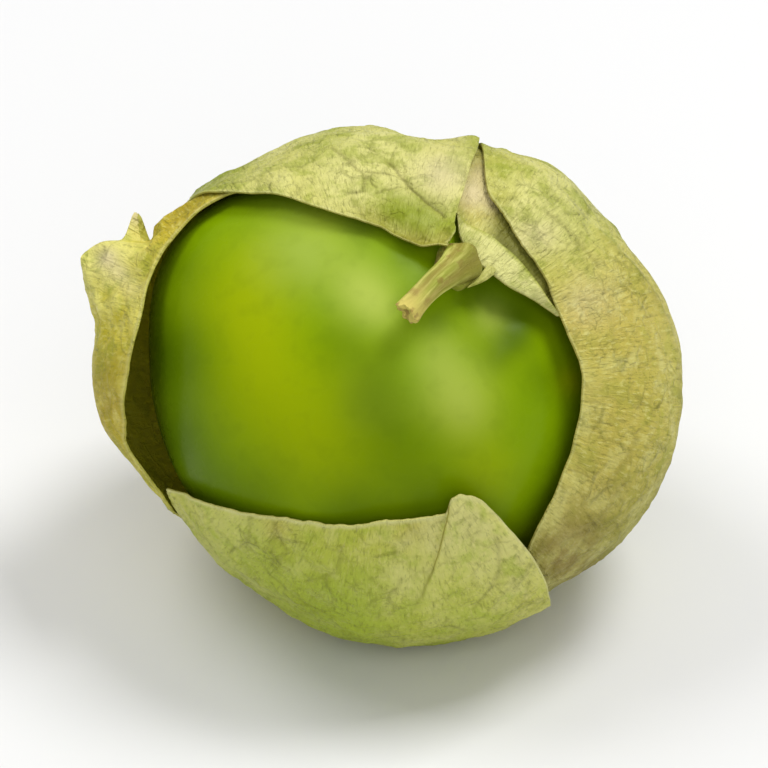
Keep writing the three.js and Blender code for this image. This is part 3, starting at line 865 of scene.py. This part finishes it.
leftShape = {
    "rows": 160, "columns": 120, "seed": 23, "tears": 26, "ragged": 0.45, "seam": 30,
    "rowCrowds": [(0.3, 0.3, 1.0), (0.28, 0.03, 4)],
    "columnCrowds": [(1, 0.12, 1.5), (0.525, 0.05, 3)],
    "top": [52, 52, 52],
    "bottom": [174, 174, 174],
    "first": [256, 249, 245, 243, 243, 244, 246, 248, 250, 251, 252],
    "second": [(52, 265), (61.5, 267), (68, 272.6), (72, 279.5), (78, 289), (82, 299), (89, 307),
               (97, 312.7), (103, 315.5), (106.5, 319.5), (110, 323.5), (114, 327), (122, 328), (135, 327),
               (150, 323), (174, 310)],
    "free": ("second",),
    "flare": (277.5, 92.5, 3.8, 8.5),
    "flareStarts": (269.5, 276),
    "flareSpread": 15,            # degrees round the flare where the paper crumples most
    "spike": (274.9, 86.1, 3.2, 0.65),
    "hollow": (266.5, 87.5, -1.7, 7.5),
    "leansOut": ((280, 312, 0.8), (84, 108)),                # longitudes and height, polar angles
    "tucked": (262, 272, 0.75),   # where and by how much the paper is flatter under the wrap
    "clear": 0.3,                 # from the berry where it swells
    "ribs": 0.12,
    "folds": (4.2, 33), "foldHeights": (0.3, 0.7),           # all over, and more on the flare
    "wave": (0.15, 9),
    "rimPaint": (0.1, 0.5, 0.35),
    # painted highlight: cream on the crumples' crests, more on the flare
    "crestHighlight": (0.25, 0.65), "foldPaints": (0.2, 0.8),     # all over, and more on the flare
    # painted shade: greener in the crumples' hollows near the flare
    "hollowShade": (-0.6, -0.1, 0.5),
    # height and its width, paint and its width, and the lines
    "valley": (-1.8, 1.1, 0, 1, [[(272.3, 87), (278, 79.8)]]),
    "valleyStarts": (2.5, 5.5),   # mm from the rim
    "ridges": (0.4, 0.6, 0.5, 0.3, [
        [(262, 66), (272, 80), (279, 92), (286, 104)], [(279, 92), (290, 92)], [(276, 100), (279, 112)]]),
    # cream: the flare's pale paper, with painted highlight on its crumpled facets and the lobe's top
    "cream": [(-29, 12, 3, 0.9), (-26.5, 17, 2, 1.0), (-26, 8, 2, 0.5), (-31, 13, 2.5, 0.6),
              (-18.5, 19.3, 1.5, 0.6)],
    "leaf": [(-30, 2, 3, 0.35), (-29, -8, 3, 0.3), (-29.7, -1, 2, 0.6)],
    "tan": [(-28, 0, 6, 0.6), (-20, 19, 4, 0.8), (-24, 16, 3, 0.7), (-29, -6, 4, 0.5)],
    "brown": [(-29.5, -2, 4, 0.35), (-21.6, 18.6, 2.4, 0.3)],
    # pink: painted highlights on the flare and the lobe's top
    "pink": [(-29.8, 12.8, 1.3, 0.7), (-28.4, 11.2, 1.1, 0.4), (-26.6, 17.5, 1.2, 0.6),
             (-27, 9.5, 1.5, 0.3)],
}
leftLooks = {**huskLooks, "straw": (0.68, 0.60, 0.02), "cream": (0.94, 0.88, 0.24),
             "tan": (0.64, 0.49, 0.015), "inside": (0.44, 0.43, 0.04), "veins": 0.35}


def makeLeftLobe(shape):
    # the patch over the bag, with a flare where it stands out, ridges on it, and crumples
    lon, pol, rim, dirs, p = patchGrid(shape)
    lons, pols = shape["leansOut"]
    forms = smoothstep(lon, *lons) * smoothstep(pol, *pols) + relief(dirs, [shape["hollow"]])
    forms = forms + relief(dirs, [shape["flare"]]) * smoothstep(lon, *shape["flareStarts"])
    forms = forms + marked(dirs, shape["valley"])[0] * smoothstep(rim, *shape["valleyStarts"])
    ridge, pale = marked(dirs, shape["ridges"])
    nearFlare = bump(angleBetween(dirs, direction(*shape["flare"][:2])), shape["flareSpread"])
    folds = crumple(p, *shape["folds"])
    allOver, more = shape["foldHeights"]
    detail = (allOver + more * nearFlare) * folds + shape["ribs"] * ribHeight(lon, pol, p) + ridge
    forms = forms + rimmed(detail, rim, p, *shape["wave"]) * (1 - fade(lon, *shape["tucked"]))
    # nowhere deeper than the berry's swelling
    swollen = roundRadius(dirs) + relief(dirs, berryShape["forms"][-1:])
    lift = np.maximum(forms, swollen + shape["clear"] - bagRadius(dirs) - puff(lon, pol))
    spike = relief(dirs, [shape["spike"]])
    sides = [side + toTop @ axes * spike[..., None] for side in sheetSides(lon, pol, lift, fruit["layer"])]
    allOver, more = shape["foldPaints"]
    pale = pale + (allOver + more * nearFlare) * smoothstep(folds, *shape["crestHighlight"]) + spike
    # the green laid in the hollows near the flare is painted shade
    closedSheet("husk_left_paper", shape, sides, huskFinish("husk_gold_paper", leftLooks),
                ["husk_left_lobe"], rim=fade(rim, *shape["rimPaint"]), cream=pale,
                leaf=fade(folds, *shape["hollowShade"]) * nearFlare)


makeLeftLobe(leftShape)


# the lower lobe: the torn front of the husk, folded up under the berry like a cup

lowerShape = {
    "rows": 150, "columns": 250, "seed": 37, "tears": 34, "ragged": 0.45, "seam": 60,
    "rowCrowds": [(0, 0.25, 1.0)],
    "columnCrowds": [(0.66, 0.05, 2.5), (0, 0.02, 1.5), (1, 0.02, 1.5)],
    "top": [(-33, 109), (-25, 99), (-14, 89), (-2.5, 81), (10, 74.7), (18, 69.6), (26, 66.8), (31, 65.4),
            (33.6, 64.6), (34.9, 61.8), (36.6, 59.7), (38.8, 58.8), (41.5, 59.2), (44.5, 60.8), (47.9, 64.4),
            (51.6, 69.7), (57.4, 78), (64.9, 93), (71, 104)],
    "bottom": [174, 176, 177, 177, 177, 177, 177, 176, 173, 168, 162],
    "first": [-33, -34, -35, -36.5, -38, -40, -42, -43, -44, -45, -45],
    "second": [71, 74, 78, 82, 87, 92, 97, 101, 104, 106, 106],
    "free": ("top", "first", "second"),
    "overWrap": (0, 55),          # longitudes over which it comes to lie on the wrap
    "corner": (45, 75, 0.25),     # longitudes and height
    "flap": {"line": ((58, 64, 76, 90, 101, 120), (34.5, 35, 35, 34, 33.5, 33)),
             "reach": 1.0, "rise": 0.7, "width": 0.7, "release": 9},
    "flapEnds": (76, 104),
    # painted shade: a dark band just before the flap's fold, stronger further from the stem
    "flapShade": (0.1, 0.35, (68, 84, 0.35)),      # how far before the fold, width, and where
    "flapPale": (1.0, 1.0, (66, 80, 0.5)),
    "ribs": 0.1,
    "folds": (6, 41), "foldHeight": 0.28,
    "fineFolds": (2.2, 47, 0.09),
    "gathers": (57, 0.1),
    "wave": (0.12, 10),
    "rimPaint": (0.15, 0.65, 0.8),
    # painted highlight: cream on the crumples' crests
    "crestHighlight": (0.3, 0.7, 0.4),
    "veins": (-0.16, 0.5, 0.32, 0.2, [
        [(27.8, 83.4), (26.9, 99)], [(351, 93), (361, 102.7), (372, 106)],
        [(350, 86), (353, 95), (350, 104)], [(356, 84), (362, 90), (360, 98)],
        [(48, 70), (50, 80), (47, 92)], [(57, 84), (58, 94)], [(12, 80), (14, 88), (9, 96)]]),
    # cream: the paper's pale patches; the first two spots, by the fold's notch, are painted light that lifts
    # its shade
    "cream": [(9, -15, 3.5, 0.65), (6.3, -16.6, 1.6, 0.9), (12, -20, 5, 0.7), (-8, -14.5, 3, 0.4),
              (-15, -16, 3, 0.3), (3, -17, 4, 0.3)],
    "leaf": [(-14, -20, 7, 0.6), (-5, -25, 7, 0.8), (9, -28, 6, 0.55), (-2, -29, 6, 0.4)],
    "tan": [(-11, -16, 1.5, 0.5), (3, -15.5, 2, 0.4)],
}
lowerLooks = {**huskLooks, "straw": (0.68, 0.70, 0.09), "leaf": (0.46, 0.57, 0.042)}


def makeLowerLobe(shape):
    # the patch over the bag, with a flap that is folded over, veins and crumples
    lon, pol, rim, dirs, p = patchGrid(shape)
    laid, rise, past = foldedOver(lon, pol, **shape["flap"])
    amount = fade(pol, *shape["flapEnds"])
    pressed, dark = marked(dirs, shape["veins"])
    folds = crumple(p, *shape["folds"])
    detail = shape["foldHeight"] * folds + crumple(p, *shape["fineFolds"])
    detail = detail + gathered(dirs, *shape["gathers"])
    detail = rimmed(detail + shape["ribs"] * ribHeight(lon, pol, p) + pressed, rim, p, *shape["wave"])
    lift = fruit["layer"] * smoothstep(lon, *shape["overWrap"]) + smoothstep(lon, *shape["corner"])
    sides = sheetSides(lerp(lon, laid, amount), pol, lift + rise * amount + detail)
    # painted shade along the flap's fold
    before, width, pols = shape["flapShade"]
    dark = dark + bump(past + before, width) * amount * smoothstep(pol, *pols)
    before, width, pols = shape["flapPale"]
    pale = bump(past + before, width) * amount * fade(pol, *pols) + smoothstep(folds, *shape["crestHighlight"])
    closedSheet("husk_lower_paper", shape, sides, huskFinish("husk_green_paper", lowerLooks),
                ["husk_lower_lobe"], crease=dark, rim=fade(rim, *shape["rimPaint"]), cream=pale)


makeLowerLobe(lowerShape)


# the torn strip: the pleat's floor under the slot, and a tongue of husk that hangs from it

stripShape = {
    "rows": 120, "columns": 110, "seam": 210,
    # three lines from the stem to the tongue's tip: its free edge, its upper edge, and the far
    # side of the floor, which is tucked in under the wrap
    "free": [(197, 10.5), (186, 6.6), (160, 5.0), (123, 5.6), (107.4, 8.5), (100.5, 11.8), (98.1, 15.7),
             (98.4, 19.9), (98.8, 24.1), (98.8, 27.3), (98.6, 30.2)],
    "upper": [(200, 14), (184.7, 10.3), (166, 9.7), (148.1, 11.2), (134.6, 12.9), (125, 15.2),
              (117.9, 17.2), (110.5, 20), (104.6, 23), (100.8, 26.6), (98.8, 30.4)],
    "far": [(222, 12), (214, 20), (206, 36), (195, 53), (186, 51), (174, 38), (160, 29), (142, 27),
            (124, 30), (106, 35), (100, 38)],
    "upperAt": 0.4,               # the share across at which the upper edge runs
    "forms": [(191.5, 44, 0.35, 8)],
    "crest": 1.0,                 # the tongue's upper edge is this much above the floor
    "rag": (0.5, 16, 61),         # degrees, how fine and seed of the tongue's free edge
    "floorFolds": (4, 71, 0.16),
    "tongueFolds": (2.5, 73, 0.08),
    "rimPaint": (0.01, 0.05, 0.4),
    # painted shade: how much brown darkens the recess floor
    "floorShade": 0.05,                 # of brown on the floor
    "pink": [(9.8, 19.6, 1.8, 0.95), (12.4, 18.6, 1.3, 0.9), (10.5, 22, 1.2, 0.5)],
    "tan": [(11, 22, 2, 0.8), (10, 18, 2, 0.6), (13, 17.5, 2, 0.5)],
    "cream": [(11, 14, 3.5, 0.6), (14, 11, 3, 0.5)],
    "brown": [(12.4, 18, 0.8, 0.3), (11.2, 21, 0.6, 0.35), (9.2, 18.2, 0.5, 0.25)],
}
# its crease colour is the painted shade in the valley beside the tongue
stripLooks = {**huskLooks, "veins": 0.2, "cream": (0.88, 0.86, 0.32), "pink": (0.95, 0.81, 0.44),
              "crease": (0.13, 0.13, 0.006)}


def chart(pairs):
    # (longitude, polar angle) as a flat place round the stem: the polar angle times cosine and sine
    lon, pol = np.array(pairs, float).T
    return np.stack([pol * np.cos(np.radians(lon)), pol * np.sin(np.radians(lon))], -1)


def acrossLines(lines, places, u, v):
    # a point at u along each line, and at v on the straight pieces between the lines
    at = [np.stack([through(axis, u) for axis in chart(line).T], -1) for line in lines]
    flat = at[0]
    for a, b, low, high in zip(at[:-1], at[1:], places[:-1], places[1:]):
        flat = flat + (b - a) * np.clip((v - low) / (high - low), 0, 1)[..., None]
    return np.degrees(np.arctan2(flat[..., 1], flat[..., 0])) % 360, np.hypot(flat[..., 0], flat[..., 1])


def makeStrip(shape):
    # across the sheet the tongue rises from its free edge to its crest and drops to the floor
    edge = shape["upperAt"]
    crowd = spacing(shape["columns"], [(edge, 0.04, 4)])
    u, v = np.meshgrid(np.linspace(0, 1, shape["rows"] + 1), crowd, indexing="ij")
    lon, pol = acrossLines([shape["free"], shape["upper"], shape["far"]], (0, edge, 1), u, v)
    dirs = direction(lon, pol)
    p = dirs * fruit["huskRadius"]
    degrees, fine, seed = shape["rag"]
    rag = degrees * noise(np.stack([u * fine, 0 * u, 0 * u], -1), seed) * fade(v, 0, 0.15)
    crest = shape["crest"] * np.sin(np.pi / 2 * np.clip(v / edge, 0, 1)) * fade(v, edge - 0.02, edge + 0.03)
    crest = crest * smoothstep(u, 0.0, 0.25) * (1 - smoothstep(u, 0.75, 1, 0.6))
    folds = crumple(p, *shape["floorFolds"]) * smoothstep(v, edge, edge + 0.1) * fade(v, 0.75, 0.95)
    folds = folds + crumple(p, *shape["tongueFolds"]) * fade(v, edge - 0.05, edge)
    lift = crest + relief(dirs, wrapShape["forms"] + shape["forms"]) + folds
    sides = sheetSides(lon, pol + rag, lift)
    # the tongue is painted cream towards its free edge and greener towards its upper edge: painted highlight
    # and shade on its curl
    tongue = fade(v, edge - 0.01, edge + 0.02)
    # valley: painted shade, a dark band along the tongue's upper edge and the floor beyond it
    valley = smoothstep(v, edge - 0.06, edge + 0.02) * smoothstep(u, 0.22, 0.42)
    # the brown over the floor outside the tongue is painted shade in the recess
    closedSheet("husk_strip_paper", shape, sides, huskFinish("husk_strip_finish", stripLooks),
                ["husk_torn_strip"], cream=tongue * fade(v, edge * 0.55, edge * 0.95),
                leaf=tongue * smoothstep(v, edge * 0.7, edge, 0.7), crease=0.85 * valley,
                brown=shape["floorShade"] * (1 - tongue), rim=fade(v, *shape["rimPaint"]))


makeStrip(stripShape)


# a shred that hangs under the tongue, beside the stem

shredShape = {
    "rows": 30, "columns": 14, "seam": 210,
    "left": [(106, 8.8), (90, 8.3), (72, 8.2), (50, 9.2)],
    "right": [(104, 11.4), (92, 10.8), (76, 9.9), (50, 9.5)],
    "lifts": (0.5, 0.35),         # over the skin at its root and at its tip
    "crown": 0.25,
    "folds": (1.5, 81, 0.1),
    "pale": 0.6,
    "green": 0.25,
}


def makeShred(shape):
    # a crowned pointed tongue between two lines, which comes down to the skin towards its tip
    u, v = np.meshgrid(*(np.linspace(0, 1, shape[key] + 1) for key in ("rows", "columns")), indexing="ij")
    lon, pol = acrossLines([shape["left"], shape["right"]], (0, 1), u, v)
    folds = crumple(direction(lon, pol) * fruit["huskRadius"], *shape["folds"])
    sides = sheetSides(lon, pol, lerp(*shape["lifts"], u) + shape["crown"] * np.sin(np.pi * v) + folds)
    closedSheet("husk_shred_paper", shape, sides, huskFinish("husk_shred_finish", huskLooks),
                cream=shape["pale"], leaf=shape["green"])


makeShred(shredShape)


# floor, light and camera

studio = {
    "floorSize": 4.0,
    "floorColours": ((0.76, 0.76, 0.76), (0.72, 0.72, 0.72)),
    "world": 0.40,
    "lamps": [                    # name, direction from the fruit, distance and size in metres, power
        ("key", (0.39, 0.18, 0.89), 0.9, 0.34, 5.0),
        ("top", (-0.50, 0.22, 0.84), 0.9, 0.40, 2.8),
        ("fill", (0.10, -0.80, 0.60), 1.2, 0.90, 4.0),
    ],
    "distance": 0.62,             # from the camera to the point that it looks at
    "aim": (0.28, -0.84),         # right and up from the berry's centre, in mm, as the camera sees it
    "width": 0.084,               # of what the camera sees at that distance
    "sensor": 36,
    "clip": (0.02, 20),
}


def makeStudio(s):
    # a flat pale floor, an even grey-white sky, soft square lamps, and the camera on the line to the
    # opening
    scene = bpy.context.scene
    half = s["floorSize"] / 2
    mesh = bpy.data.meshes.new("floor")
    corners = [(-half, -half, 0), (half, -half, 0), (half, half, 0), (-half, half, 0)]
    mesh.from_pydata(corners, [], [(0, 1, 2, 3)])
    floor = bpy.data.objects.new("floor", mesh)
    scene.collection.objects.link(floor)
    f = Finish("floor_plain")
    colour = f.mix(f.ramp(f.grain(6), 0.3, 0.7, 0, 0.03), *s["floorColours"])
    mesh.materials.append(f.done(f.skin(colour, 0.6, {})))
    world = bpy.data.worlds.new("studio")
    world.use_nodes = True
    sky = world.node_tree.nodes["Background"].inputs
    sky["Color"].default_value = (1, 1, 1, 1)
    sky["Strength"].default_value = s["world"]
    scene.world = world
    middle = Vector(centre * 0.001)
    for name, way, distance, size, power in s["lamps"]:
        lamp = bpy.data.lights.new(name, "AREA")
        lamp.size, lamp.energy = size, power
        holder = bpy.data.objects.new(name, lamp)
        holder.location = middle + Vector(way).normalized() * distance
        holder.rotation_euler = Vector(way).to_track_quat("Z", "Y").to_euler()
        scene.collection.objects.link(holder)
    camera = bpy.data.objects.new("camera", bpy.data.cameras.new("camera"))
    back = Vector(openingAxis)
    target = middle + Vector((s["aim"][0] * 0.001, 0, 0)) + Vector(toTop @ axes) * s["aim"][1] * 0.001
    camera.location = target + back * s["distance"]
    camera.rotation_euler = back.to_track_quat("Z", "Y").to_euler()
    camera.data.sensor_width = s["sensor"]
    camera.data.lens = s["sensor"] * s["distance"] / s["width"]
    camera.data.clip_start, camera.data.clip_end = s["clip"]
    scene.collection.objects.link(camera)
    scene.camera = camera
    scene.view_settings.view_transform = "Standard"


makeStudio(studio)
print("studio ready")
